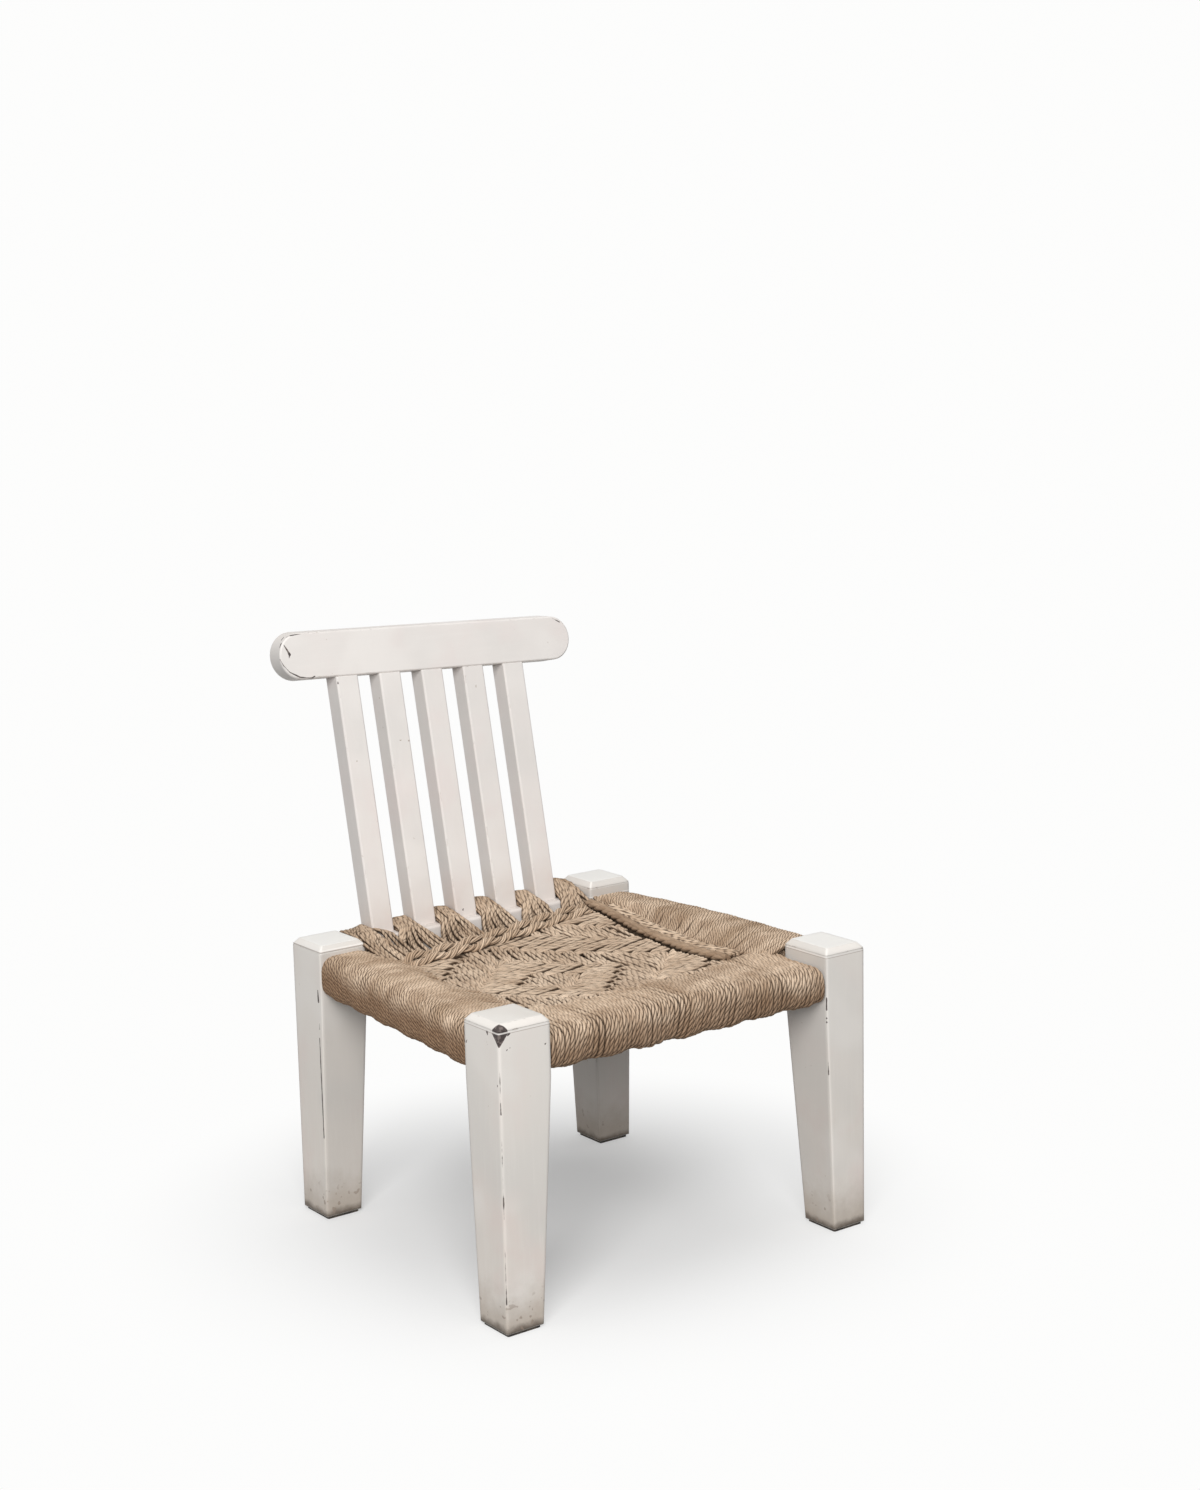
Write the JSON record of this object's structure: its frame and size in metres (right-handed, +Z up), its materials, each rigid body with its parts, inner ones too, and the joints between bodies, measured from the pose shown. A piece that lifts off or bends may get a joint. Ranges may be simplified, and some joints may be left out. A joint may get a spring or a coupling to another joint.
{
  "type": "lounge chair",
  "caption": "Low lounge chair with square painted posts, a raked slatted back under a round-ended crest board, and a seat of twisted cord wound and woven on its rails.",
  "frame": {"origin": "on the floor, under the middle of the overall bounding box", "axes": "+Z up, -Y the way the sitter faces, +X across the seat"},
  "size_m": [0.542, 0.5756, 0.7369],
  "materials": {
    "painted_wood": "aged off-white paint, satin",
    "cord": "twisted natural fibre, matt",
    "glide": "matt, dirty"
  },
  "bodies": {
    "root": {"leg_front_left": "painted_wood", "leg_front_right": "painted_wood", "leg_rear_left": "painted_wood", "leg_rear_right": "painted_wood", "foot_pad_front_left": "glide", "foot_pad_front_right": "glide", "foot_pad_rear_left": "glide", "foot_pad_rear_right": "glide", "front_rail": "painted_wood", "left_rail": "painted_wood", "right_rail": "painted_wood", "rear_rail": "painted_wood", "back_slat_1": "painted_wood", "back_slat_2": "painted_wood", "back_slat_3": "painted_wood", "back_slat_4": "painted_wood", "back_slat_5": "painted_wood", "crest_rail": "painted_wood", "front_winding": "cord", "left_winding": "cord", "right_winding": "cord", "rear_wrap_1": "cord", "rear_wrap_2": "cord", "rear_wrap_3": "cord", "rear_wrap_4": "cord", "rear_wrap_5": "cord", "rear_wrap_6": "cord", "woven_seat": "cord", "rope_fan_1": "cord", "rope_fan_2": "cord", "rope_fan_3": "cord", "rope_fan_4": "cord", "rope_fan_5": "cord", "rope_fan_6": "cord", "braid_strand_front": "cord", "braid_strand_rear": "cord", "side_cord": "cord", "side_plait": "cord"}
  },
  "joints": []
}
